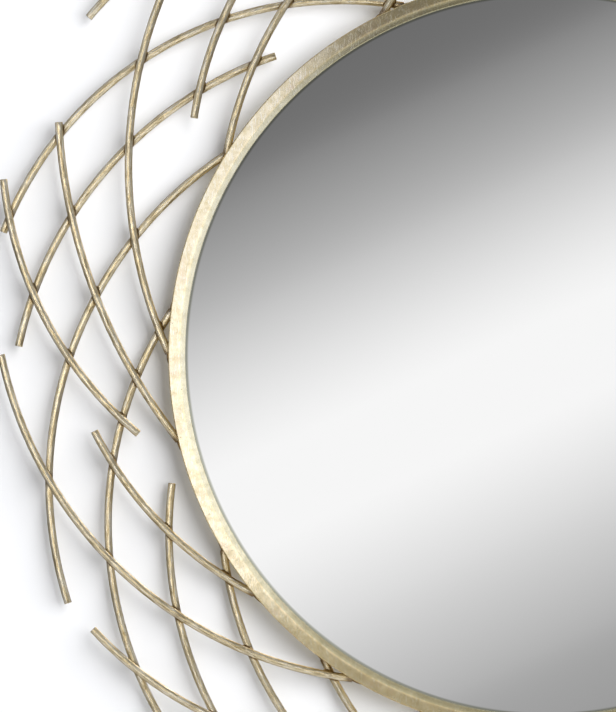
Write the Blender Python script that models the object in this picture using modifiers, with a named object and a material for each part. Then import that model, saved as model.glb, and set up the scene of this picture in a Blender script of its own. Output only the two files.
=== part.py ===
"""Round wall mirror: a gilded ring around a flat glass, in a lattice of bent rods.

The mirror is modelled lying on its back, face up, around its own centre: X to the right, Y to the
mirror's top and Z out of the wall. An empty then stands it up against the wall, so that it faces -Y
with +Z up. The origin lies on the back of the hanger plate, on the wall's surface.
"""

import math
from dataclasses import dataclass

import bmesh
import bpy

# Driving dimensions, in metres and degrees
gap = 0.0003

ring_radius = 0.300
ring_depth = 0.020
band_width = 0.0093
lip_width = 0.0042
lip_thickness = 0.0045
lip_step = 0.0005
lip_slope = 0.0004
ring_chamfer = 0.0006
ring_sides = 80
wall_standoff = 0.002

glass_thickness = 0.004
board_thickness = 0.005
rebate_clearance = 0.0006

rod_diameter = 0.006
rod_segment_length = 0.032
rod_root_overrun = 0.030

clip_count = 6
clip_width = 0.016
clip_reach = 0.012
clip_height = 0.004
clip_thickness = 0.001

plate_width = 0.044
plate_edge_inset = 0.0015
plate_corner_radius = 0.004
plate_margin = 0.0065
slot_width = 0.0055
slot_travel = 0.014
slot_to_ring = 0.003
entry_diameter = 0.012
round_steps = 6

pad_diameter = 0.008
pad_angles = {"left": 240.0, "right": 300.0}


@dataclass(frozen=True)
class Rod:
    """A bent rod, from its outer tip to its inner end, with reaches measured from the ring's outer wall.

    An inner reach of 0 means that the rod is welded to the ring.
    """

    outer_angle: float
    outer_reach: float
    inner_angle: float
    inner_reach: float
    bend_radius: float


# The left half's rods from the top down. The right half repeats them, turned half a turn.
front_rods = [
    Rod(60.0, 0.145, 95.0, 0.030, 0.300),
    Rod(81.0, 0.125, 115.6, 0.0, 0.320),
    Rod(99.5, 0.105, 147.8, 0.0, 0.329),
    Rod(113.1, 0.120, 146.1, 0.037, 0.315),
    Rod(128.8, 0.140, 179.7, 0.0, 0.361),
    Rod(154.5, 0.129, 193.0, 0.0, 0.442),
    Rod(162.1, 0.153, 191.0, 0.030, 0.302),
    Rod(180.0, 0.133, 239.0, 0.0, 0.324),
    Rod(189.6, 0.064, 219.2, 0.0, 0.296),
    Rod(211.2, 0.121, 262.5, 0.0, 0.299),
]
back_rods = [
    Rod(119.0, 0.145, 71.0, 0.0, 0.300),
    Rod(143.6, 0.152, 92.0, 0.030, 0.275),
    Rod(167.3, 0.1425, 112.3, 0.0, 0.288),
    Rod(179.1, 0.1195, 132.1, 0.0205, 0.311),
    Rod(207.5, 0.1285, 147.9, 0.0, 0.312),
    Rod(226.5, 0.1265, 173.4, 0.0, 0.308),
    Rod(245.3, 0.1255, 199.0, 0.0145, 0.307),
    Rod(257.2, 0.100, 211.3, 0.0, 0.299),
    Rod(279.8, 0.130, 233.9, 0.0, 0.317),
]

# Dependent values
ring_back = wall_standoff
ring_front = ring_back + ring_depth
rebate_radius = ring_radius - band_width
lip_radius = rebate_radius - lip_width
disc_radius = rebate_radius - rebate_clearance
glass_front = ring_front - lip_thickness - gap
glass_back = glass_front - glass_thickness
board_front = glass_back - gap
board_back = board_front - board_thickness
rod_radius = rod_diameter / 2
layer_offset = (rod_diameter + gap) / 2
back_layer_height = ring_back + ring_depth / 2 - layer_offset
front_layer_height = back_layer_height + 2 * layer_offset
plate_thickness = wall_standoff - gap
plate_top = ring_radius - plate_edge_inset
slot_end = rebate_radius - slot_to_ring - slot_width / 2
entry_height = slot_end - slot_travel
plate_bottom = entry_height - entry_diameter / 2 - plate_margin
pad_orbit = rebate_radius + band_width / 2
mount_height = (rebate_radius + plate_top) / 2


def clear_scene():
    """Removes every object that the scene starts with."""
    for obj in list(bpy.data.objects):
        bpy.data.objects.remove(obj, do_unlink=True)


def make_collection(name):
    """Adds a collection to the scene."""
    collection = bpy.data.collections.new(name)
    bpy.context.scene.collection.children.link(collection)
    return collection


def make_material(name, colour, roughness, metallic):
    """Makes a Principled material with one colour."""
    material = bpy.data.materials.new(name)
    material.use_nodes = True
    shader = material.node_tree.nodes["Principled BSDF"]
    shader.inputs["Base Color"].default_value = (*colour, 1.0)
    shader.inputs["Roughness"].default_value = roughness
    shader.inputs["Metallic"].default_value = metallic
    return material


def place(obj, collection, parent, material=None):
    """Puts an object into its collection, under its parent, with its material."""
    for other in list(obj.users_collection):
        other.objects.unlink(obj)
    collection.objects.link(obj)
    obj.parent = parent
    if material and not obj.data.materials:
        obj.data.materials.append(material)


def add_cylinder(name, radius, height, centre, sides):
    """Adds a cylinder along Z as a primitive."""
    bpy.ops.mesh.primitive_cylinder_add(vertices=sides, radius=radius, depth=height, location=centre)
    obj = bpy.context.active_object
    obj.name = name
    return obj


def turned_object(name, profile, sides):
    """Turns a closed profile of radius and height around Z with a Screw modifier."""
    mesh = bpy.data.meshes.new(name)
    shape = bmesh.new()
    corners = [shape.verts.new((radius, 0.0, height)) for radius, height in profile]
    for corner, following in zip(corners, corners[1:] + corners[:1]):
        shape.edges.new((corner, following))
    shape.to_mesh(mesh)
    shape.free()
    obj = bpy.data.objects.new(name, mesh)
    screw = obj.modifiers.new("turn", "SCREW")
    screw.axis = "Z"
    screw.steps = sides
    screw.render_steps = sides
    screw.use_merge_vertices = True
    screw.merge_threshold = 0.00001
    screw.use_smooth_shade = False
    return obj


def flat_outline(name, outlines, thickness, lowest):
    """Makes a plate from closed outlines, the first one its edge and the others its holes."""
    curve = bpy.data.curves.new(name, "CURVE")
    curve.dimensions = "2D"
    curve.fill_mode = "BOTH"
    curve.extrude = thickness / 2
    for outline in outlines:
        spline = curve.splines.new("POLY")
        spline.points.add(len(outline) - 1)
        for point, (x, y) in zip(spline.points, outline):
            point.co = (x, y, 0.0, 1.0)
        spline.use_cyclic_u = True
    obj = bpy.data.objects.new(name, curve)
    obj.location.z = lowest + thickness / 2
    return obj


def bent_tube(name, points, height):
    """Makes a round rod along points of one plane as a curve with a bevel."""
    curve = bpy.data.curves.new(name, "CURVE")
    curve.dimensions = "3D"
    curve.bevel_depth = rod_radius
    curve.bevel_resolution = 2
    curve.use_fill_caps = True
    spline = curve.splines.new("POLY")
    spline.points.add(len(points) - 1)
    for point, (x, y) in zip(spline.points, points):
        point.co = (x, y, 0.0, 1.0)
    obj = bpy.data.objects.new(name, curve)
    obj.location.z = height
    return obj


def as_mesh_object(obj):
    """Turns a curve object into a mesh object with welded caps, in the same place."""
    bpy.context.scene.collection.objects.link(obj)
    bpy.context.view_layer.update()
    evaluated = obj.evaluated_get(bpy.context.evaluated_depsgraph_get())
    mesh = bpy.data.meshes.new_from_object(evaluated)
    shape = bmesh.new()
    shape.from_mesh(mesh)
    bmesh.ops.remove_doubles(shape, verts=shape.verts, dist=0.00001)
    shape.to_mesh(mesh)
    shape.free()
    name = obj.name
    solid = bpy.data.objects.new(name, mesh)
    solid.matrix_world = obj.matrix_world.copy()
    bpy.data.objects.remove(obj, do_unlink=True)
    solid.name = name
    return solid


def polar(angle, radius):
    """Gives the point at an angle in degrees, anticlockwise from +X, and a radius."""
    return (radius * math.cos(math.radians(angle)), radius * math.sin(math.radians(angle)))


def arc_points(centre, radius, start, end, count):
    """Gives points along an arc, its angles in degrees."""
    points = []
    for step in range(count + 1):
        x, y = polar(start + (end - start) * step / count, radius)
        points.append((centre[0] + x, centre[1] + y))
    return points


def rod_points(rod):
    """Gives the points of a rod's centre line, from its tip to its inner end.

    The arc has the rod's bend radius and bulges away from the mirror's centre. A rod that is welded
    to the ring runs on into it, to be trimmed there.
    """
    outer = polar(rod.outer_angle, ring_radius + rod.outer_reach)
    inner = polar(rod.inner_angle, ring_radius + rod.inner_reach)
    half_chord = math.dist(outer, inner) / 2
    middle = ((outer[0] + inner[0]) / 2, (outer[1] + inner[1]) / 2)
    across = ((outer[1] - inner[1]) / (2 * half_chord), (inner[0] - outer[0]) / (2 * half_chord))
    outward = math.copysign(1.0, across[0] * middle[0] + across[1] * middle[1])
    setback = outward * math.sqrt(rod.bend_radius ** 2 - half_chord ** 2)
    centre = (middle[0] - across[0] * setback, middle[1] - across[1] * setback)
    start = math.degrees(math.atan2(outer[1] - centre[1], outer[0] - centre[0]))
    end = math.degrees(math.atan2(inner[1] - centre[1], inner[0] - centre[0]))
    sweep = (end - start + 180.0) % 360.0 - 180.0
    if rod.inner_reach == 0.0:
        sweep += math.copysign(math.degrees(rod_root_overrun / rod.bend_radius), sweep)
    length = math.radians(abs(sweep)) * rod.bend_radius
    count = math.ceil(length / rod_segment_length)
    return arc_points(centre, rod.bend_radius, start, start + sweep, count)


def rounded_rectangle(left, right, bottom, top, radius):
    """Gives the outline of a rectangle with round corners, anticlockwise."""
    outline = []
    corners = [(right, top, 0.0), (left, top, 90.0), (left, bottom, 180.0), (right, bottom, 270.0)]
    for x, y, start in corners:
        centre_x = x - math.copysign(radius, x)
        centre_y = y - (radius if y == top else -radius)
        outline += arc_points((centre_x, centre_y), radius, start, start + 90.0, round_steps)
    return outline


def keyhole_outline():
    """Gives the outline of the keyhole: a round entry below and a narrow slot with a round end above it."""
    half_slot = slot_width / 2
    spread = math.degrees(math.asin(half_slot / (entry_diameter / 2)))
    slot_end_arc = arc_points((0.0, slot_end), half_slot, 0.0, 180.0, round_steps)
    entry_arc = arc_points((0.0, entry_height), entry_diameter / 2, 90.0 + spread, 450.0 - spread, 3 * round_steps)
    return slot_end_arc + entry_arc


def build_ring(collection, parent, material):
    """Builds the ring: a flat face, a lip in front of the glass and a rebate behind it."""
    profile = [
        (ring_radius - ring_chamfer, ring_front),
        (ring_radius, ring_front - ring_chamfer),
        (ring_radius, ring_back),
        (rebate_radius, ring_back),
        (rebate_radius, ring_front - lip_thickness),
        (lip_radius, ring_front - lip_thickness),
        (lip_radius, ring_front - lip_step - lip_slope),
        (rebate_radius, ring_front - lip_step),
        (rebate_radius, ring_front),
    ]
    ring = turned_object("mirror_ring", profile, ring_sides)
    place(ring, collection, parent, material)


def build_discs(collection, parent, mirror, board):
    """Builds the glass and the board behind it."""
    glass = add_cylinder("mirror_glass", disc_radius, glass_thickness,
                         (0.0, 0.0, glass_back + glass_thickness / 2), ring_sides)
    place(glass, collection, parent, mirror)
    backing = add_cylinder("backing_board", disc_radius, board_thickness,
                           (0.0, 0.0, board_back + board_thickness / 2), ring_sides)
    place(backing, collection, parent, board)


def build_clips(collection, parent, material):
    """Builds the bent clips that hold the board: a foot on the board and a leg along the ring's rebate."""
    foot_top = board_back - gap
    wall = rebate_radius * math.cos(math.pi / ring_sides) - gap
    wall = math.sqrt(wall ** 2 - (clip_width / 2) ** 2)
    outline = [
        (wall, foot_top),
        (wall - clip_reach, foot_top),
        (wall - clip_reach, foot_top - clip_thickness),
        (wall - clip_thickness, foot_top - clip_thickness),
        (wall - clip_thickness, foot_top - clip_height),
        (wall, foot_top - clip_height),
    ]
    for number in range(clip_count):
        name = f"board_clip_{number + 1}"
        clip = flat_outline(name, [outline], clip_width, -clip_width / 2)
        clip.rotation_euler = (math.pi / 2, 0.0, math.tau * number / clip_count)
        place(clip, collection, parent, material)


def build_hanger(collection, parent, material):
    """Builds the hanger plate with its keyhole, on the ring's back at the top."""
    edge = rounded_rectangle(-plate_width / 2, plate_width / 2, plate_bottom, plate_top, plate_corner_radius)
    plate = flat_outline("hanger_plate", [edge, keyhole_outline()], plate_thickness, 0.0)
    place(plate, collection, parent, material)


def build_pads(collection, parent, material):
    """Builds the rubber pads that keep the ring's lower part off the wall."""
    for side, angle in pad_angles.items():
        x, y = polar(angle, pad_orbit)
        pad = add_cylinder(f"wall_pad_{side}", pad_diameter / 2, plate_thickness,
                           (x, y, plate_thickness / 2), 4 * round_steps)
        place(pad, collection, parent, material)


def build_layer(layer, rods, height, trimmer, collection, parent, material):
    """Builds one layer of rods, the left half and the same rods turned half a turn as the right half."""
    for number, rod in enumerate(rods, start=1):
        solid = as_mesh_object(bent_tube(f"{layer}_rod_left_{number}", rod_points(rod), height))
        turned = bpy.data.objects.new(f"{layer}_rod_right_{number}", solid.data)
        turned.location = solid.location
        turned.rotation_euler.z = math.pi
        for obj in (solid, turned):
            if rod.inner_reach == 0.0:
                trim = obj.modifiers.new("trim at the ring", "BOOLEAN")
                trim.operation = "DIFFERENCE"
                trim.solver = "EXACT"
                trim.object = trimmer
            place(obj, collection, parent, material)


def build_trimmer(collection, parent):
    """Builds the cutter that ends the rods just outside the ring's outer wall."""
    trimmer = add_cylinder("ring_trimmer", ring_radius + gap, 2 * ring_depth,
                           (0.0, 0.0, ring_back + ring_depth / 2), ring_sides)
    place(trimmer, collection, parent)
    trimmer.hide_render = True
    trimmer.display_type = "WIRE"
    return trimmer


def build():
    """Builds the mirror against the wall."""
    clear_scene()
    mirror = make_collection("wall_mirror")
    cutters = make_collection("cutters")
    upright = bpy.data.objects.new("upright", None)
    upright.location.z = -mount_height
    upright.rotation_euler.x = math.pi / 2
    mirror.objects.link(upright)

    gilded_ring = make_material("gilded_ring", (0.72, 0.63, 0.42), 0.38, 1.0)
    gilded_rods = make_material("gilded_rods", (0.55, 0.46, 0.31), 0.42, 1.0)
    silvered_glass = make_material("silvered_glass", (0.86, 0.88, 0.87), 0.03, 1.0)
    fibreboard = make_material("fibreboard", (0.30, 0.20, 0.12), 0.85, 0.0)
    steel = make_material("steel", (0.45, 0.44, 0.42), 0.45, 1.0)
    rubber = make_material("rubber", (0.03, 0.03, 0.03), 0.8, 0.0)

    build_ring(mirror, upright, gilded_ring)
    build_discs(mirror, upright, silvered_glass, fibreboard)
    build_clips(mirror, upright, steel)
    build_hanger(mirror, upright, steel)
    build_pads(mirror, upright, rubber)
    trimmer = build_trimmer(cutters, upright)
    build_layer("front", front_rods, front_layer_height, trimmer, mirror, upright, gilded_rods)
    build_layer("back", back_rods, back_layer_height, trimmer, mirror, upright, gilded_rods)
    bpy.context.view_layer.update()


build()
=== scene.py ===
"""Round wall mirror in a gilded iron ring with a lattice of bent, crossing rods, in a plain white studio."""

import sys
import logging
import math
from collections.abc import Callable, Sequence
from dataclasses import dataclass, field
from enum import Enum

import bmesh
import bpy
import numpy as np
from mathutils import Matrix, Vector


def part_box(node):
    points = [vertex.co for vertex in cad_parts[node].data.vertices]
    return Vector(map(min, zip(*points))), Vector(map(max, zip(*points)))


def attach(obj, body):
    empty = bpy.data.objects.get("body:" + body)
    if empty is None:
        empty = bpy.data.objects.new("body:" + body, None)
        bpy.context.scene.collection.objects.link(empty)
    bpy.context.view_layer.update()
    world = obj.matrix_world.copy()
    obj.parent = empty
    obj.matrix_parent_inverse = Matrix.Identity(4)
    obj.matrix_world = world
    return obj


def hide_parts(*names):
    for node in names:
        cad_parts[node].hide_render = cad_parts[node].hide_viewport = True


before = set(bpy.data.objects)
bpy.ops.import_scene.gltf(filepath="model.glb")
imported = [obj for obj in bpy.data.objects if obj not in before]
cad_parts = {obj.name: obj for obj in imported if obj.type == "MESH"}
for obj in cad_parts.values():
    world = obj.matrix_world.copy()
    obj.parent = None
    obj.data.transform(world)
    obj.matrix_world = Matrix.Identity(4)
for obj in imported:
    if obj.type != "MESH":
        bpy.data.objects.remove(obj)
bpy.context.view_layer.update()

report = logging.getLogger("wall_mirror")

# The photograph's frame, and what one of its pixels covers at the front of the ring
PHOTO_WIDTH = 616
PHOTO_HEIGHT = 712
METRES_PER_PIXEL = 0.0007926

# In metres: the height of the mirror's axis, how near corners merge, the depth of a bar's front ridge
MIRROR_CENTRE_Z = -0.2946
MERGE_DISTANCE = 0.00001
RIDGE_DEPTH = 0.00005

FRONT = Vector((0.0, -1.0, 0.0))
UPRIGHT = (math.pi / 2, 0.0, 0.0)
COLOUR_MIX = {"data_type": "RGBA"}


class Element(Enum):
    """Kind of mesh element that a selection works on."""

    VERTS = "VERT"
    EDGES = "EDGE"
    FACES = "FACE"


class Slot(Enum):
    """Material slots of the record, one for each finish of the pieces."""

    RING = "gilded_ring"
    RODS = "gilded_rods"
    GLASS = "mirror_glass"
    BOARD = "fibreboard"
    STEEL = "steel"
    RUBBER = "rubber"


# Small tools


def linear(code: str) -> tuple[float, float, float, float]:
    """Turns an sRGB hex colour into linear light.

    Args:
        code: colour as "#rrggbb".

    Returns:
        Linear red, green and blue, and an alpha of 1.
    """
    parts = [int(code[i : i + 2], 16) / 255.0 for i in (1, 3, 5)]
    light = [p / 12.92 if p <= 0.04045 else ((p + 0.055) / 1.055) ** 2.4 for p in parts]
    return (light[0], light[1], light[2], 1.0)


def per(millimetres: float) -> float:
    """Gives the pattern scale whose features are about as many millimetres apart as asked."""
    return 1000.0 / millimetres


def add_node(
    tree: bpy.types.NodeTree,
    kind: str,
    settings: dict[str, object] | None = None,
    values: dict[int | str, object] | None = None,
    links: dict[int | str, bpy.types.NodeSocket] | None = None,
    stops: Sequence[tuple[float, tuple[float, float, float, float]]] = (),
) -> bpy.types.Node:
    """Adds a shader node with its settings, its fixed inputs and its links.

    Args:
        tree: node tree that takes the node.
        kind: the node's type without "ShaderNode".
        settings: attributes of the node.
        values: fixed inputs by socket name or number.
        links: output sockets that feed inputs, by the inputs' name or number.
        stops: places and colours along a colour ramp.

    Returns:
        The new node.
    """
    node = tree.nodes.new("ShaderNode" + kind)
    for name, setting in (settings or {}).items():
        setattr(node, name, setting)
    for socket, value in (values or {}).items():
        node.inputs[socket].default_value = value
    for socket, source in (links or {}).items():
        tree.links.new(source, node.inputs[socket])
    if stops:
        ramp = node.color_ramp
        ramp.elements[0].position, ramp.elements[0].color = stops[0]
        ramp.elements[-1].position, ramp.elements[-1].color = stops[-1]
        for place, colour in stops[1:-1]:
            ramp.elements.new(place).color = colour
    return node


def start_material(name: str) -> tuple[bpy.types.Material, bpy.types.NodeTree, bpy.types.Node]:
    """Makes a material with one Principled shader.

    Args:
        name: the material's name.

    Returns:
        The material, its node tree and the Principled node.
    """
    material = bpy.data.materials.new(name)
    material.use_nodes = True
    return material, material.node_tree, material.node_tree.nodes["Principled BSDF"]


def start_glow(name: str) -> tuple[bpy.types.Material, bpy.types.NodeTree, bpy.types.NodeSocket]:
    """Makes a material with no shader yet, for a surface that shines.

    Args:
        name: the material's name.

    Returns:
        The material, its node tree and the socket that takes the surface.
    """
    material, tree, skin = start_material(name)
    tree.nodes.remove(skin)
    return material, tree, tree.nodes["Material Output"].inputs["Surface"]


def axis_distance(tree: bpy.types.NodeTree, place: bpy.types.NodeSocket) -> bpy.types.NodeSocket:
    """Measures in a material how far a point lies from the mirror's axis.

    Args:
        tree: node tree that takes the nodes.
        place: the point in object coordinates.

    Returns:
        The socket with the distance in metres.
    """
    flat = {"Location": (0.0, 0.0, -MIRROR_CENTRE_Z), "Scale": (1.0, 0.0, 1.0)}
    centred = add_node(tree, "Mapping", values=flat, links={"Vector": place})
    length = add_node(tree, "VectorMath", {"operation": "LENGTH"}, links={0: centred.outputs[0]})
    return length.outputs["Value"]


def select_only(*objects: bpy.types.Object) -> None:
    """Leaves edit mode and selects nothing but the given objects, the first one active.

    Args:
        objects: objects to select.
    """
    if bpy.context.object and bpy.context.object.mode != "OBJECT":
        bpy.ops.object.mode_set(mode="OBJECT")
    bpy.ops.object.select_all(action="DESELECT")
    for each in objects:
        each.select_set(True)
    bpy.context.view_layer.objects.active = objects[0] if objects else None


def pick(piece: bpy.types.Object, element: Element, test: Callable[[object], bool]) -> None:
    """Selects the elements of the piece in edit mode that pass a test.

    Args:
        piece: object in edit mode.
        element: kind of element to test.
        test: says for a mesh element whether it gets selected.
    """
    bpy.ops.mesh.select_mode(type=element.value)
    bpy.ops.mesh.select_all(action="DESELECT")
    shape = bmesh.from_edit_mesh(piece.data)
    for item in getattr(shape, element.name.lower()):
        if test(item):
            item.select_set(True)
    shape.select_flush_mode()
    bmesh.update_edit_mesh(piece.data)


def is_round_end(face: bmesh.types.BMFace) -> bool:
    """Says whether a face is the many-sided end of a round shape."""
    return len(face.verts) > 4


def hide_from(piece: bpy.types.Object, *rays: str) -> None:
    """Hides a piece from the named kinds of ray."""
    for ray in rays:
        setattr(piece, "visible_" + ray, False)


def settle(piece: bpy.types.Object, name: str, smooth_degrees: float = 35.0) -> bpy.types.Object:
    """Ends edit mode, merges doubles, turns faces outwards and puts the piece's origin at the frame's.

    Args:
        piece: object that has been shaped.
        name: name that it gets.
        smooth_degrees: edges flatter than this are shaded smooth.

    Returns:
        The same object.
    """
    select_only(piece)
    bpy.ops.object.mode_set(mode="EDIT")
    bpy.ops.mesh.select_all(action="SELECT")
    bpy.ops.mesh.remove_doubles(threshold=MERGE_DISTANCE)
    bpy.ops.mesh.normals_make_consistent(inside=False)
    bpy.ops.object.mode_set(mode="OBJECT")
    bpy.ops.object.transform_apply(location=True, rotation=True, scale=True)
    bpy.ops.object.shade_smooth_by_angle(angle=math.radians(smooth_degrees))
    piece.name = name
    piece.data.name = name
    return piece


def hand_over(piece: bpy.types.Object, slot: Slot, material: bpy.types.Material, *nodes: str) -> None:
    """Dresses a finished piece, lets it ride on the object and hides the CAD nodes that it stands for.

    Args:
        piece: finished object.
        slot: record slot of its finish; not used.
        material: material for all its faces.
        nodes: CAD nodes that it replaces.
    """
    piece.data.materials.clear()
    piece.data.materials.append(material)
    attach(piece, "root")
    if nodes:
        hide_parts(*nodes)
    report.info("%s: %d faces", piece.name, len(piece.data.polygons))


def roughen(piece: bpy.types.Object, size: float, height: float) -> None:
    """Moves the surface in and out by a soft cloud pattern, as hand work leaves it.

    Args:
        piece: object to work on.
        size: size of the bumps in metres.
        height: full height of the bumps in metres.
    """
    select_only(piece)
    texture = bpy.data.textures.new("hand_work", "CLOUDS")
    texture.noise_scale = size
    texture.noise_depth = 2
    bpy.ops.object.modifier_add(type="DISPLACE")
    modifier = piece.modifiers[-1]
    modifier.texture = texture
    modifier.texture_coords = "LOCAL"
    modifier.strength = height
    modifier.mid_level = 0.5
    bpy.ops.object.modifier_apply(modifier=modifier.name)


def mesh_copy(piece: bpy.types.Object, name: str, place: Matrix) -> bpy.types.Object:
    """Copies a piece with its own mesh and puts the copy's place into that mesh.

    Args:
        piece: modelled piece, at the frame's origin.
        name: name of the copy.
        place: where the copy goes.

    Returns:
        The copy.
    """
    copy = piece.copy()
    copy.data = piece.data.copy()
    copy.name = name
    copy.data.name = name
    bpy.context.scene.collection.objects.link(copy)
    copy.data.transform(place)
    return copy


def join(pieces: Sequence[bpy.types.Object], name: str) -> bpy.types.Object:
    """Joins pieces into one object.

    Args:
        pieces: objects at the frame's origin.
        name: name of the result.

    Returns:
        The joined object.
    """
    select_only(*pieces)
    if len(pieces) > 1:
        bpy.ops.object.join()
    whole = bpy.context.view_layer.objects.active
    whole.name = name
    whole.data.name = name
    return whole


def weld_copy(node: str, name: str) -> bpy.types.Object:
    """Copies a CAD node's loose triangles into a piece of its own with merged corners and whole faces.

    Args:
        node: name of the CAD node.
        name: name of the copy.

    Returns:
        The copy, ready to be bevelled.
    """
    copy = mesh_copy(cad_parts[node], name, Matrix())
    for key in [k for k in copy.keys() if k.startswith("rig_")]:
        del copy[key]
    select_only(copy)
    bpy.ops.object.mode_set(mode="EDIT")
    bpy.ops.mesh.select_all(action="SELECT")
    bpy.ops.mesh.remove_doubles(threshold=MERGE_DISTANCE)
    bpy.ops.mesh.dissolve_limited(angle_limit=math.radians(1.0))
    bpy.ops.object.mode_set(mode="OBJECT")
    return copy


def soften_edges(piece: bpy.types.Object, width: float) -> None:
    """Rounds a piece's sharp edges with an applied bevel.

    Args:
        piece: object to work on.
        width: bevel width in metres.
    """
    select_only(piece)
    bpy.ops.object.modifier_add(type="BEVEL")
    modifier = piece.modifiers[-1]
    modifier.width = width
    modifier.segments = 2
    modifier.limit_method = "ANGLE"
    modifier.angle_limit = math.radians(30.0)
    bpy.ops.object.modifier_apply(modifier=modifier.name)


def round_blank(node: str, steps: int) -> bpy.types.Object:
    """Adds a cylinder in a round CAD node's place and picks its two round ends in edit mode.

    Args:
        node: CAD node that gives the place and size.
        steps: sides of the cylinder.

    Returns:
        The cylinder.
    """
    low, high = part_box(node)
    select_only()
    bpy.ops.mesh.primitive_cylinder_add(
        vertices=steps, radius=(high[0] - low[0]) / 2, depth=high[1] - low[1], end_fill_type="NGON",
        location=[(a + b) / 2 for a, b in zip(low, high)], rotation=UPRIGHT,
    )
    blank = bpy.context.object
    bpy.ops.object.transform_apply(location=True, rotation=True, scale=True)
    bpy.ops.object.mode_set(mode="EDIT")
    pick(blank, Element.FACES, is_round_end)
    return blank


def weld_lump() -> bpy.types.Object:
    """Models one lump of weld metal, a metre in each half width, to be scaled where it goes.

    Returns:
        The lump.
    """
    select_only()
    bpy.ops.mesh.primitive_ico_sphere_add(subdivisions=3, radius=1.0)
    lump = bpy.context.object
    bpy.ops.object.mode_set(mode="EDIT")
    pick(lump, Element.VERTS, lambda corner: abs(corner.co.x) > 0.8)
    bpy.ops.transform.resize(value=(1.12, 0.8, 0.8), center_override=(0.0, 0.0, 0.0))
    settle(lump, "weld_lump", 80.0)
    roughen(lump, 0.6, 0.25)
    return lump


# Finishes


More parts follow.
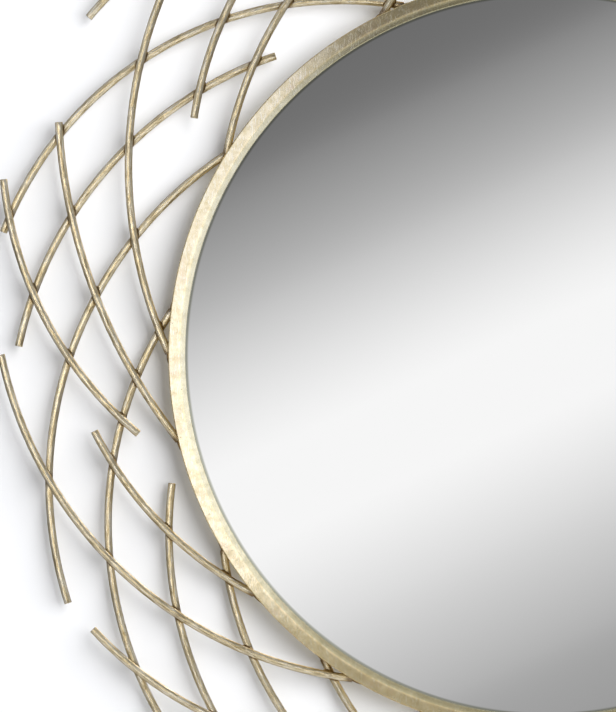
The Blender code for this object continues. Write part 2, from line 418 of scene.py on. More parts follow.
@dataclass(frozen=True)
class BurnishedLeaf:
    """Pale gold leaf on a rolled iron ring, burnished and lacquered.

    It gives the eye a soft satin metal, cream where the light falls on it and olive gold elsewhere, with
    leaf mottling, fine rubbed scratches across the face, small brown specks where the clay shows, and a
    painted shade on the lip.
    """

    pale: str = "#efddb0"
    deep: str = "#d8c491"
    rose: str = "#dfc5a0"
    clay: str = "#5a4326"
    rubbed_gold: str = "#fbf4d6"
    lip_painted_shade: str = "#b3b190"
    lip_radius: float = 0.2907
    lip_blur: float = 0.0003
    mottle_mm: float = 7.0
    blush_mm: float = 11.0
    grain_mm: float = 0.9
    scratch_mm: float = 0.8
    speck_mm: float = 2.2
    roughness: float = 0.21

    def make(self) -> bpy.types.Material:
        """Builds the material and returns it."""
        material, tree, skin = start_material("burnished_gold_leaf")
        place = add_node(tree, "TexCoord").outputs["Object"]
        mottle = add_node(
            tree, "TexNoise", values={"Scale": per(self.mottle_mm), "Detail": 5.0, "Roughness": 0.65},
            links={"Vector": place},
        )
        aside = add_node(tree, "Mapping", values={"Location": (3.1, 1.7, 0.4)}, links={"Vector": place})
        blush = add_node(
            tree, "TexNoise", values={"Scale": per(self.blush_mm), "Detail": 3.0, "Distortion": 0.6},
            links={"Vector": aside.outputs[0]},
        )
        grain = add_node(
            tree, "TexNoise", values={"Scale": per(self.grain_mm), "Detail": 3.0, "Roughness": 0.7},
            links={"Vector": place},
        )
        gold_share = add_node(
            tree, "MapRange", values={"From Min": 0.35, "From Max": 0.68},
            links={"Value": mottle.outputs[0]},
        )
        gold = add_node(
            tree, "Mix", COLOUR_MIX, {6: linear(self.pale), 7: linear(self.deep)},
            {0: gold_share.outputs[0]},
        )
        blush_share = add_node(
            tree, "MapRange", values={"From Min": 0.56, "From Max": 0.78, "To Max": 0.6},
            links={"Value": blush.outputs[0]},
        )
        blushed = add_node(
            tree, "Mix", COLOUR_MIX, {7: linear(self.rose)},
            {0: blush_share.outputs[0], 6: gold.outputs[2]},
        )
        scratches = []
        for turn in (0.5, 1.35, 2.3):
            drawn = add_node(
                tree, "Mapping", values={"Rotation": (0.0, turn, 0.0), "Scale": (1.0, 1.0, 0.16)},
                links={"Vector": place},
            )
            streak = add_node(
                tree, "TexNoise", values={"Scale": per(self.scratch_mm), "Detail": 1.0},
                links={"Vector": drawn.outputs[0]},
            )
            scratch = add_node(
                tree, "MapRange", values={"From Min": 0.62, "From Max": 0.72},
                links={"Value": streak.outputs[0]},
            )
            scratches.append(scratch.outputs[0])
        pair = add_node(tree, "Math", {"operation": "MAXIMUM"}, links={0: scratches[0], 1: scratches[1]})
        rubbed = add_node(tree, "Math", {"operation": "MAXIMUM"}, links={0: pair.outputs[0], 1: scratches[2]})
        rubbed_share = add_node(tree, "Math", {"operation": "MULTIPLY"}, {1: 0.45}, {0: rubbed.outputs[0]})
        lighter = add_node(
            tree, "Mix", COLOUR_MIX, {7: linear(self.rubbed_gold)},
            {0: rubbed_share.outputs[0], 6: blushed.outputs[2]},
        )
        apart = add_node(tree, "Mapping", values={"Location": (0.7, 5.0, 2.0)}, links={"Vector": place})
        specks = add_node(
            tree, "TexNoise", values={"Scale": per(self.speck_mm), "Detail": 4.0, "Roughness": 0.6},
            links={"Vector": apart.outputs[0]},
        )
        speck_share = add_node(
            tree, "MapRange", values={"From Min": 0.66, "From Max": 0.74, "To Max": 0.5},
            links={"Value": specks.outputs[0]},
        )
        speckled = add_node(
            tree, "Mix", COLOUR_MIX, {7: linear(self.clay)},
            {0: speck_share.outputs[0], 6: lighter.outputs[2]},
        )
        # Painted shade: inside lip_radius the colour is mixed half way to a darker grey green, standing in
        # for the lip catching less light than the face.
        lip_shade_share = add_node(
            tree,
            "MapRange",
            values={
                "From Min": self.lip_radius + self.lip_blur,
                "From Max": self.lip_radius - self.lip_blur,
                "To Max": 0.5,
            },
            links={"Value": axis_distance(tree, place)},
        )
        colour = add_node(
            tree, "Mix", COLOUR_MIX, {7: linear(self.lip_painted_shade)},
            {0: lip_shade_share.outputs[0], 6: speckled.outputs[2]},
        )
        tree.links.new(colour.outputs[2], skin.inputs["Base Color"])
        least, most = self.roughness - 0.04, self.roughness + 0.06
        polish = add_node(
            tree, "MapRange", values={"From Min": 0.3, "From Max": 0.7, "To Min": least, "To Max": most},
            links={"Value": mottle.outputs[0]},
        )
        tree.links.new(polish.outputs[0], skin.inputs["Roughness"])
        bump = add_node(
            tree, "Bump", values={"Strength": 0.2, "Distance": 0.0001}, links={"Height": grain.outputs[0]},
        )
        cuts = add_node(
            tree, "Bump", {"invert": True}, {"Strength": 0.25, "Distance": 0.00006},
            {"Height": rubbed.outputs[0], "Normal": bump.outputs[0]},
        )
        tree.links.new(cuts.outputs[0], skin.inputs["Normal"])
        skin.inputs["Metallic"].default_value = 1.0
        return material


@dataclass(frozen=True)
class WrinkledLeaf:
    """Champagne leaf laid by hand on round iron bar.

    It gives the eye broken streaks that run along the bar, pale on their tops and brown in their folds, which
    paints light and shade onto the wrinkles, and a dark patina round every weld, partly heat tint where the
    heat took the leaf and partly painted shade where the bars cross and meet the ring.
    """

    pale: str = "#fdf4de"
    middle: str = "#e2d2ac"
    fold_shade: str = "#7e6c48"
    patina_and_shade: str = "#6a4e2a"
    edge_tint: str = "#a5834f"
    streak_mm: float = 1.3
    streak_length: float = 0.10
    blotch_mm: float = 9.0
    roughness: float = 0.23

    def make(self) -> bpy.types.Material:
        """Builds the material and returns it. It reads the attributes that the rods carry."""
        material, tree, skin = start_material("wrinkled_champagne_leaf")
        along = add_node(tree, "Attribute", {"attribute_name": "along_bar"}).outputs["Vector"]
        burnt_and_shaded = add_node(tree, "Attribute", {"attribute_name": "weld_heat_and_shade"}).outputs["Fac"]
        stretched = add_node(
            tree, "Mapping", values={"Scale": (1.0, 1.0, self.streak_length)}, links={"Vector": along},
        )
        streaks = add_node(
            tree, "TexNoise",
            values={"Scale": per(self.streak_mm), "Detail": 4.0, "Roughness": 0.6, "Distortion": 0.3},
            links={"Vector": stretched.outputs[0]},
        )
        blotches = add_node(
            tree, "TexNoise", values={"Scale": per(self.blotch_mm), "Detail": 3.0, "Roughness": 0.6},
            links={"Vector": along},
        )
        # Painted light and shade: the colour follows the streaks that also drive the bump, pale on their tops
        # and brown in their folds, over the leaf's own streaky tone.
        base = add_node(
            tree, "ValToRGB", links={0: streaks.outputs[0]},
            stops=[(0.30, linear(self.fold_shade)), (0.47, linear(self.middle)), (0.60, linear(self.pale))],
        )
        tone = add_node(
            tree, "MapRange", values={"From Min": 0.5, "From Max": 0.75, "To Max": 0.55},
            links={"Value": blotches.outputs[0]},
        )
        toned = add_node(
            tree, "Mix", COLOUR_MIX, {7: linear(self.middle)}, {0: tone.outputs[0], 6: base.outputs[0]},
        )
        # Heat tint together with painted shade: the patina darkens the bar near every crossing and every foot
        # on the ring.
        edge = add_node(tree, "Math", {"operation": "ADD"}, links={0: burnt_and_shaded, 1: blotches.outputs[0]})
        heat_and_shade = add_node(
            tree, "MapRange", values={"From Min": 0.62, "From Max": 1.25, "To Max": 0.92},
            links={"Value": edge.outputs[0]},
        )
        colour = add_node(
            tree, "Mix", COLOUR_MIX, {7: linear(self.patina_and_shade)}, {0: heat_and_shade.outputs[0], 6: toned.outputs[2]},
        )
        tree.links.new(colour.outputs[2], skin.inputs["Base Color"])
        folds, tops = self.roughness + 0.1, self.roughness - 0.06
        dull = add_node(
            tree, "MapRange", values={"From Min": 0.3, "From Max": 0.7, "To Min": folds, "To Max": tops},
            links={"Value": streaks.outputs[0]},
        )
        tree.links.new(dull.outputs[0], skin.inputs["Roughness"])
        bump = add_node(
            tree, "Bump", values={"Strength": 0.9, "Distance": 0.0006},
            links={"Height": streaks.outputs[0]},
        )
        tree.links.new(bump.outputs[0], skin.inputs["Normal"])
        skin.inputs["Specular Tint"].default_value = linear(self.edge_tint)
        skin.inputs["Metallic"].default_value = 1.0
        return material


@dataclass(frozen=True)
class BrazedBronze:
    """Brazing metal run into the corner between two bars and left dark.

    It gives the eye a lumpy brown metal with a few golden high spots.
    """

    dark: str = "#6a5232"
    gold: str = "#c4a870"
    lump_mm: float = 1.6

    def make(self) -> bpy.types.Material:
        """Builds the material and returns it."""
        material, tree, skin = start_material("brazed_bronze")
        place = add_node(tree, "TexCoord").outputs["Object"]
        lumps = add_node(
            tree, "TexNoise", values={"Scale": per(self.lump_mm), "Detail": 3.0}, links={"Vector": place},
        )
        colour = add_node(
            tree, "ValToRGB", links={0: lumps.outputs[0]},
            stops=[(0.45, linear(self.dark)), (0.72, linear(self.gold))],
        )
        tree.links.new(colour.outputs[0], skin.inputs["Base Color"])
        bump = add_node(
            tree, "Bump", values={"Strength": 0.6, "Distance": 0.0003}, links={"Height": lumps.outputs[0]},
        )
        tree.links.new(bump.outputs[0], skin.inputs["Normal"])
        skin.inputs["Metallic"].default_value = 1.0
        skin.inputs["Roughness"].default_value = 0.45
        return material


@dataclass(frozen=True)
class SilveredGlass:
    """Float glass silvered on its back.

    It gives the eye a clean mirror, with a painted grey green shade in the last millimetres before the lip
    that stands in for the lip's shaded underside seen in the glass.
    """

    silver: str = "#f6f6f6"
    shade: str = "#90937a"
    clear_radius: float = 0.2838
    dark_radius: float = 0.2857
    wipe_mm: float = 60.0

    def make(self) -> bpy.types.Material:
        """Builds the material and returns it."""
        material, tree, skin = start_material("silvered_float_glass")
        place = add_node(tree, "TexCoord").outputs["Object"]
        # Painted shade: the colour darkens towards the grey green shade in the last two millimetres before
        # the lip.
        rim = add_node(
            tree, "MapRange", {"interpolation_type": "SMOOTHSTEP"},
            {"From Min": self.clear_radius, "From Max": self.dark_radius, "To Max": 0.72},
            {"Value": axis_distance(tree, place)},
        )
        colour = add_node(
            tree, "Mix", COLOUR_MIX, {6: linear(self.silver), 7: linear(self.shade)}, {0: rim.outputs[0]},
        )
        tree.links.new(colour.outputs[2], skin.inputs["Base Color"])
        wipe = add_node(
            tree, "TexNoise", values={"Scale": per(self.wipe_mm), "Detail": 4.0}, links={"Vector": place},
        )
        haze = add_node(
            tree, "MapRange", values={"From Min": 0.3, "From Max": 0.8, "To Min": 0.012, "To Max": 0.03},
            links={"Value": wipe.outputs[0]},
        )
        tree.links.new(haze.outputs[0], skin.inputs["Roughness"])
        skin.inputs["Metallic"].default_value = 1.0
        return material


@dataclass(frozen=True)
class RawFibreboard:
    """Hot pressed fibreboard, unpainted.

    It gives the eye a matt brown sheet with short darker and lighter fibres.
    """

    light: str = "#a98a66"
    dark: str = "#7d6144"
    fibre_mm: float = 1.6
    patch_mm: float = 35.0

    def make(self) -> bpy.types.Material:
        """Builds the material and returns it."""
        material, tree, skin = start_material("raw_fibreboard")
        place = add_node(tree, "TexCoord").outputs["Object"]
        heights = []
        for turn in (0.2, 1.7):
            laid = add_node(
                tree, "Mapping", values={"Rotation": (0.0, turn, 0.0), "Scale": (1.0, 1.0, 0.22)},
                links={"Vector": place},
            )
            fibres = add_node(
                tree, "TexNoise",
                values={"Scale": per(self.fibre_mm), "Detail": 4.0, "Roughness": 0.7, "Distortion": 0.8},
                links={"Vector": laid.outputs[0]},
            )
            heights.append(fibres.outputs[0])
        felt = add_node(tree, "Math", {"operation": "ADD"}, links={0: heights[0], 1: heights[1]})
        patches = add_node(
            tree, "TexNoise", values={"Scale": per(self.patch_mm), "Detail": 2.0}, links={"Vector": place},
        )
        shade = add_node(
            tree, "MapRange", values={"From Min": 0.75, "From Max": 1.25, "To Min": -0.15, "To Max": 0.85},
            links={"Value": felt.outputs[0]},
        )
        total = add_node(
            tree, "Math", {"operation": "MULTIPLY_ADD"}, {1: 0.5},
            {0: patches.outputs[0], 2: shade.outputs[0]},
        )
        colour = add_node(
            tree, "Mix", COLOUR_MIX, {6: linear(self.light), 7: linear(self.dark)}, {0: total.outputs[0]},
        )
        tree.links.new(colour.outputs[2], skin.inputs["Base Color"])
        bump = add_node(
            tree, "Bump", values={"Strength": 0.4, "Distance": 0.0002}, links={"Height": felt.outputs[0]},
        )
        tree.links.new(bump.outputs[0], skin.inputs["Normal"])
        skin.inputs["Roughness"].default_value = 0.85
        skin.inputs["IOR"].default_value = 1.5
        return material


@dataclass(frozen=True)
class RolledSteel:
    """Cold rolled steel sheet, zinc plated.

    It gives the eye a cool grey metal with a faint rolling grain and small pale blooms.
    """

    bright: str = "#c3c2bd"
    dull: str = "#8d8c88"
    grain_mm: float = 0.5
    bloom_mm: float = 5.0

    def make(self) -> bpy.types.Material:
        """Builds the material and returns it."""
        material, tree, skin = start_material("zinc_plated_steel")
        place = add_node(tree, "TexCoord").outputs["Object"]
        rolled = add_node(tree, "Mapping", values={"Scale": (0.05, 1.0, 1.0)}, links={"Vector": place})
        grain = add_node(
            tree, "TexNoise", values={"Scale": per(self.grain_mm), "Detail": 2.0},
            links={"Vector": rolled.outputs[0]},
        )
        bloom = add_node(
            tree, "TexNoise", values={"Scale": per(self.bloom_mm), "Detail": 4.0}, links={"Vector": place},
        )
        tone = add_node(
            tree, "MapRange", values={"From Min": 0.35, "From Max": 0.65},
            links={"Value": bloom.outputs[0]},
        )
        colour = add_node(
            tree, "Mix", COLOUR_MIX, {6: linear(self.bright), 7: linear(self.dull)}, {0: tone.outputs[0]},
        )
        tree.links.new(colour.outputs[2], skin.inputs["Base Color"])
        dull = add_node(
            tree, "MapRange", values={"From Min": 0.3, "From Max": 0.7, "To Min": 0.28, "To Max": 0.45},
            links={"Value": grain.outputs[0]},
        )
        tree.links.new(dull.outputs[0], skin.inputs["Roughness"])
        bump = add_node(
            tree, "Bump", values={"Strength": 0.2, "Distance": 0.00005}, links={"Height": grain.outputs[0]},
        )
        tree.links.new(bump.outputs[0], skin.inputs["Normal"])
        skin.inputs["Metallic"].default_value = 1.0
        return material


@dataclass(frozen=True)
class MouldedRubber:
    """Black rubber, compression moulded.

    It gives the eye a matt, nearly black pad with a fine pebble and a little dust.
    """

    black: str = "#1c1c1d"
    dust: str = "#4a4947"
    pebble_mm: float = 0.6

    def make(self) -> bpy.types.Material:
        """Builds the material and returns it."""
        material, tree, skin = start_material("moulded_rubber")
        place = add_node(tree, "TexCoord").outputs["Object"]
        pebble = add_node(
            tree, "TexNoise", values={"Scale": per(self.pebble_mm), "Detail": 2.0}, links={"Vector": place},
        )
        dusty = add_node(
            tree, "MapRange", values={"From Min": 0.5, "From Max": 0.8, "To Max": 0.5},
            links={"Value": pebble.outputs[0]},
        )
        colour = add_node(
            tree, "Mix", COLOUR_MIX, {6: linear(self.black), 7: linear(self.dust)}, {0: dusty.outputs[0]},
        )
        tree.links.new(colour.outputs[2], skin.inputs["Base Color"])
        bump = add_node(
            tree, "Bump", values={"Strength": 0.3, "Distance": 0.0001}, links={"Height": pebble.outputs[0]},
        )
        tree.links.new(bump.outputs[0], skin.inputs["Normal"])
        skin.inputs["Roughness"].default_value = 0.75
        skin.inputs["IOR"].default_value = 1.52
        return material


# The ring and what it holds


@dataclass
class GildedRing:
    """The rolled ring: a flat face, a slightly lower lip in front of the glass and a rebate behind it."""

    steps: int = 480
    face_width: float = 0.0093
    lip_width: float = 0.0042
    arris: float = 0.0007
    step_width: float = 0.0003
    lip_drop: float = 0.00004
    lip_fall: float = 0.00004
    lip_thickness: float = 0.0042
    lip_arris: float = 0.0002
    face_bands: int = 5
    wall_bands: int = 5
    dent_size: float = 0.012
    unevenness: float = 0.00022
    finish: BurnishedLeaf = field(default_factory=BurnishedLeaf)

    def __post_init__(self) -> None:
        """Takes the ring's place and size from the frame."""
        low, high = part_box("mirror_ring")
        self.centre = Vector(((low[0] + high[0]) / 2, 0.0, (low[2] + high[2]) / 2))
        self.radius = (high[0] - low[0]) / 2
        self.front = low[1]
        self.back = high[1]

    def profile(self) -> list[tuple[float, float]]:
        """Lists the ring's outline from the back's outer corner, round the front, to the back's inner corner.

        Returns:
            Radius and y of each corner.
        """
        rebate = self.radius - self.face_width
        inner = rebate - self.lip_width
        lip_front = self.front + self.lip_drop
        lip_back = lip_front + self.lip_thickness
        wall = [
            (self.radius, self.back + (self.front + self.arris - self.back) * i / self.wall_bands)
            for i in range(self.wall_bands + 1)
        ]
        face_outer = self.radius - self.arris
        face_inner = rebate + self.step_width
        face = [
            (face_outer + (face_inner - face_outer) * i / self.face_bands, self.front)
            for i in range(self.face_bands + 1)
        ]
        rest = [
            (rebate, lip_front), ((rebate + inner) / 2, lip_front + self.lip_fall / 2),
            (inner + self.lip_arris, lip_front + self.lip_fall),
            (inner, lip_front + self.lip_fall + self.lip_arris), (inner, lip_back), (rebate, lip_back),
            (rebate, (lip_back + self.back) / 2), (rebate, self.back),
        ]
        return wall + face + rest

    def build(self) -> bpy.types.Object:
        """Extrudes the outline ring by ring, closes it at the back and dresses it.

        Returns:
            The finished ring.
        """
        outline = self.profile()
        start = self.centre + Vector((0.0, outline[0][1], 0.0))
        select_only()
        bpy.ops.mesh.primitive_circle_add(
            vertices=self.steps, radius=outline[0][0], fill_type="NOTHING", location=start,
            rotation=UPRIGHT,
        )
        ring = bpy.context.object
        bpy.ops.object.mode_set(mode="EDIT")
        for (r0, y0), (r1, y1) in zip(outline, outline[1:]):
            bpy.ops.mesh.extrude_region_move(TRANSFORM_OT_translate={"value": (0.0, y1 - y0, 0.0)})
            share = r1 / r0
            bpy.ops.transform.resize(
                value=(share, 1.0, share), center_override=self.centre + Vector((0.0, y1, 0.0)),
            )
        pick(ring, Element.EDGES, lambda edge: edge.is_boundary)
        bpy.ops.mesh.bridge_edge_loops()
        settle(ring, "gilded_ring")
        roughen(ring, self.dent_size, self.unevenness)
        hand_over(ring, Slot.RING, self.finish.make(), "mirror_ring")
        return ring


@dataclass
class MirrorPlate:
    """The round mirror glass with a ground edge."""

    steps: int = 256
    edge: float = 0.0006
    rim: float = 0.001
    finish: SilveredGlass = field(default_factory=SilveredGlass)

    def build(self) -> None:
        """Makes the plate in the CAD plate's place and dresses it."""
        plate = round_blank("mirror_glass", self.steps)
        bpy.ops.mesh.bevel(offset=self.edge, segments=2, affect="EDGES")
        pick(plate, Element.FACES, is_round_end)
        bpy.ops.mesh.inset(thickness=self.rim)
        settle(plate, "silvered_plate")
        hand_over(plate, Slot.GLASS, self.finish.make(), "mirror_glass")


@dataclass
class BackFittings:
    """Board, clips, hanger plate and pads behind the glass."""

    ring: GildedRing
    board_steps: int = 128
    board_edge: float = 0.0008
    clip_edge: float = 0.00025
    plate_edge: float = 0.00035
    pad_steps: int = 40
    pad_edge: float = 0.0006
    tack_size: tuple[float, float, float] = (0.0016, 0.0011, 0.0024)
    board_finish: RawFibreboard = field(default_factory=RawFibreboard)
    steel_finish: RolledSteel = field(default_factory=RolledSteel)
    rubber_finish: MouldedRubber = field(default_factory=MouldedRubber)

    def disc(self, node: str, name: str, steps: int, edge: float) -> bpy.types.Object:
        """Makes a round disc with bevelled edges in a CAD disc's place.

        Args:
            node: CAD node that gives the place and size.
            name: name of the disc.
            steps: sides of the disc.
            edge: width of its bevel.

        Returns:
            The disc.
        """
        disc = round_blank(node, steps)
        bpy.ops.mesh.bevel(offset=edge, segments=3, affect="EDGES")
        return settle(disc, name)

    def pressed(self, node: str, name: str, edge: float, steel: bpy.types.Material) -> None:
        """Makes a steel piece from its CAD node, with softened edges, and dresses it.

        Args:
            node: CAD node that gives the shape.
            name: name of the piece.
            edge: width of its bevel.
            steel: its material.
        """
        piece = weld_copy(node, name)
        soften_edges(piece, edge)
        hand_over(settle(piece, name), Slot.STEEL, steel, node)

    def tacks(self) -> bpy.types.Object:
        """Sets a tack weld on each side of the hanger plate, where it lies on the ring's back.

        Returns:
            The joined welds.
        """
        low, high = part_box("hanger_plate")
        lump = weld_lump()
        reach = self.ring.radius - self.ring.face_width / 2
        lumps = []
        for side in (low[0], high[0]):
            rise = math.sqrt(reach**2 - (side - self.ring.centre.x) ** 2)
            spot = Vector((side, self.ring.back, self.ring.centre.z + rise))
            place = Matrix.Translation(spot) @ Matrix.Diagonal((*self.tack_size, 1.0))
            lumps.append(mesh_copy(lump, "tack", place))
        bpy.data.objects.remove(lump)
        return join(lumps, "plate_tack_welds")

    def build(self) -> None:
        """Makes and dresses everything behind the glass."""
        board = self.disc("backing_board", "pressed_board", self.board_steps, self.board_edge)
        hand_over(board, Slot.BOARD, self.board_finish.make(), "backing_board")
        steel = self.steel_finish.make()
        for node in sorted(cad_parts):
            if node.startswith("board_clip"):
                self.pressed(node, "bent_" + node, self.clip_edge, steel)
        self.pressed("hanger_plate", "keyhole_plate", self.plate_edge, steel)
        hand_over(self.tacks(), Slot.STEEL, steel)
        rubber = self.rubber_finish.make()
        for side in ("left", "right"):
            node = "wall_pad_" + side
            pad = self.disc(node, "rubber_pad_" + side, self.pad_steps, self.pad_edge)
            hand_over(pad, Slot.RUBBER, rubber, node)


# The lattice


@dataclass
class BarArc:
    """The centre line of one bent bar: part of a circle in a plane y = level."""

    node: str
    centre: Vector
    radius: float
    level: float
    start: float
    end: float

    @classmethod
    def read(cls, node: str) -> "BarArc":
        """Finds a CAD rod's centre line from the ridge of corners nearest the front.

        Args:
            node: CAD node of the rod.

        Returns:
            The arc through the ridge.
        """
        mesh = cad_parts[node].data
        points = np.empty(len(mesh.vertices) * 3)
        mesh.vertices.foreach_get("co", points)
        points = points.reshape(-1, 3)
        level = (points[:, 1].min() + points[:, 1].max()) / 2
        ridge = points[points[:, 1] < points[:, 1].min() + RIDGE_DEPTH][:, [0, 2]]
        sums = np.column_stack([2 * ridge, np.ones(len(ridge))])
        cx, cz, rest = np.linalg.lstsq(sums, (ridge**2).sum(axis=1), rcond=None)[0]
        radius = math.sqrt(rest + cx * cx + cz * cz)
        middle = ridge.mean(axis=0) - (cx, cz)
        bearing = math.atan2(middle[1], middle[0])
        turns = np.arctan2(ridge[:, 1] - cz, ridge[:, 0] - cx) - bearing
        turns = (turns + math.pi) % (2 * math.pi) - math.pi
        return cls(
            node, Vector((cx, level, cz)), radius, level, bearing + float(turns.min()),
            bearing + float(turns.max()),
        )

    def point(self, angle: float) -> Vector:
        """Gives the point of the centre line at an angle about the arc's centre."""
        return self.centre + Vector((math.cos(angle), 0.0, math.sin(angle))) * self.radius

    def holds(self, point: Vector) -> bool:
        """Says whether a point's bearing from the arc's centre lies within the bar."""
        middle = (self.start + self.end) / 2
        turn = math.atan2(point.z - self.centre.z, point.x - self.centre.x) - middle
        turn = (turn + math.pi) % (2 * math.pi) - math.pi
        return abs(turn) < (self.end - self.start) / 2

    def crossings(self, other: "BarArc") -> list[Vector]:
        """Finds where this bar crosses another one, seen from the front.

        Args:
            other: the other bar.

        Returns:
            Points halfway between the two bars' levels.
        """
        gap = other.centre - self.centre
        gap.y = 0.0
        apart = gap.length
        if apart < 1e-6 or apart > self.radius + other.radius or apart < abs(self.radius - other.radius):
            return []
        along = (apart**2 + self.radius**2 - other.radius**2) / (2 * apart)
        across = math.sqrt(max(self.radius**2 - along**2, 0.0))
        ahead = gap / apart
        side = Vector((-ahead.z, 0.0, ahead.x))
        found = []
        for sign in (1.0, -1.0):
            spot = self.centre + ahead * along + side * across * sign
            spot.y = (self.level + other.level) / 2
            if self.holds(spot) and other.holds(spot):
                found.append(spot)
        return found

    def heading(self, point: Vector) -> Vector:
        """Gives the bar's direction at a point on it."""
        out = point - self.centre
        return Vector((-out.z, 0.0, out.x)).normalized()


@dataclass
class RodLattice:
    """The two layers of bent bars round the ring, and the welds that hold them."""

    ring: GildedRing
    bar_radius: float = 0.00302
    sides: int = 16
    step_length: float = 0.003
    end_bevel: float = 0.0004
    weld_depth: float = 0.0012
    foot_gap: float = 0.004
    wrinkle_size: float = 0.004
    unevenness: float = 0.00028
    pattern_shift: float = 0.7
    heat_and_shade_reach: float = 0.0048
    braze_share: float = 0.98
    braze_longest: float = 0.0075
    braze_depth: float = 0.0021
    collar_spread: float = 0.0009
    collar_depth: float = 0.0031
    collar_rise: float = 0.0016
    least_slant: float = 0.35
    leaf: WrinkledLeaf = field(default_factory=WrinkledLeaf)
    braze: BrazedBronze = field(default_factory=BrazedBronze)

    def __post_init__(self) -> None:
        """Reads every bar's centre line from the frame and finds the welds."""
        names = sorted(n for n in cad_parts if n.startswith(("front_rod", "back_rod")))
        self.bars = [BarArc.read(name) for name in names]
        fronts = [bar for bar in self.bars if bar.node.startswith("front")]
        backs = [bar for bar in self.bars if bar.node.startswith("back")]
        self.crossed = [(a, b, spot) for a in fronts for b in backs for spot in a.crossings(b)]
        self.footed = []
        for bar in self.bars:
            for angle, way in ((bar.start, -1.0), (bar.end, 1.0)):
                foot = bar.point(angle)
                out = foot - self.ring.centre
                out.y = 0.0
                if out.length < self.ring.radius + self.foot_gap:
                    wall = self.ring.centre + out.normalized() * self.ring.radius
                    wall.y = bar.level
                    self.footed.append((bar, way, wall))

    def bend(self, bar: BarArc) -> bpy.types.Object:
        """Spins a round section along the bar's arc and closes its ends, cut square and lightly broken.

        Args:
            bar: the bar's centre line.

        Returns:
            The bare bar.
        """
        start, end = bar.start, bar.end
        for footed, way, _ in self.footed:
            if footed is bar and way < 0:
                start -= self.weld_depth / bar.radius
            if footed is bar and way > 0:
                end += self.weld_depth / bar.radius
        first = bar.point(start)
        ahead = bar.heading(first)
        select_only()
        bpy.ops.mesh.primitive_circle_add(
            vertices=self.sides, radius=self.bar_radius, fill_type="NOTHING", location=first,
            rotation=(0.0, math.atan2(ahead.x, ahead.z), 0.0),
        )
        piece = bpy.context.object
        bpy.ops.object.transform_apply(location=True, rotation=True, scale=True)
        bpy.ops.object.mode_set(mode="EDIT")
        bpy.ops.mesh.select_all(action="SELECT")
        length = (end - start) * bar.radius
        bpy.ops.mesh.spin(
            steps=max(8, round(length / self.step_length)), angle=end - start, center=bar.centre,
            axis=(0.0, 1.0, 0.0),
        )
        last = bar.point(end)
        for tip in (first, last):
            pick(piece, Element.VERTS, lambda corner: (corner.co - tip).length < self.bar_radius * 1.05)
            bpy.ops.mesh.edge_face_add()
        pick(piece, Element.FACES, is_round_end)
        bpy.ops.mesh.bevel(offset=self.end_bevel, segments=2, affect="EDGES")
        return settle(piece, "leafed_" + bar.node)

    def mark(self, piece: bpy.types.Object, bar: BarArc, number: int) -> None:
        """Gives each corner its place along the straightened bar and its nearness to a weld, where the leaf
        darkens as heat tint and painted shade.

        Args:
            piece: the bar's mesh.
            bar: the bar's centre line.
            number: the bar's number, which shifts its pattern.
        """
        mesh = piece.data
        points = np.empty(len(mesh.vertices) * 3)
        mesh.vertices.foreach_get("co", points)
        points = points.reshape(-1, 3)
        flat = points[:, [0, 2]] - (bar.centre.x, bar.centre.z)
        reach = np.hypot(flat[:, 0], flat[:, 1])
        middle = (bar.start + bar.end) / 2
        turn = (np.arctan2(flat[:, 1], flat[:, 0]) - middle + math.pi) % (2 * math.pi) - math.pi
        run = turn * bar.radius + number * self.pattern_shift
        places = np.column_stack([reach - bar.radius, points[:, 1] - bar.level, run])
        along = mesh.attributes.new("along_bar", "FLOAT_VECTOR", "POINT")
        along.data.foreach_set("vector", places.ravel())
        spots = [spot for a, b, spot in self.crossed if bar in (a, b)]
        spots += [wall for footed, _, wall in self.footed if footed is bar]
        heat_and_shade = np.zeros(len(points))
        for spot in spots:
            away = np.linalg.norm(points - np.array(spot), axis=1)
            heat_and_shade = np.maximum(heat_and_shade, np.exp(-((away / self.heat_and_shade_reach) ** 2)))
        nearness = mesh.attributes.new("weld_heat_and_shade", "FLOAT", "POINT")
        nearness.data.foreach_set("value", heat_and_shade)

    def set_lump(
        self,
        lump: bpy.types.Object,
        halves: dict[str, list[bpy.types.Object]],
        spot: Vector,
        axes: tuple[Vector, Vector, Vector],
        half_sizes: tuple[float, float, float],
    ) -> None:
        """Puts a copy of the weld lump at a joint and counts it to the mirror's left or right half.

        Args:
            lump: the lump to copy.
            halves: the copies made so far, by half.
            spot: the joint.
            axes: directions that the lump's own axes take.
            half_sizes: half of its length, depth and width.
        """
        turn = Matrix(axes).transposed().to_4x4()
        place = Matrix.Translation(spot) @ turn @ Matrix.Diagonal((*half_sizes, 1.0))
        side = "left" if spot.x < self.ring.centre.x else "right"
        halves[side].append(mesh_copy(lump, "braze", place))

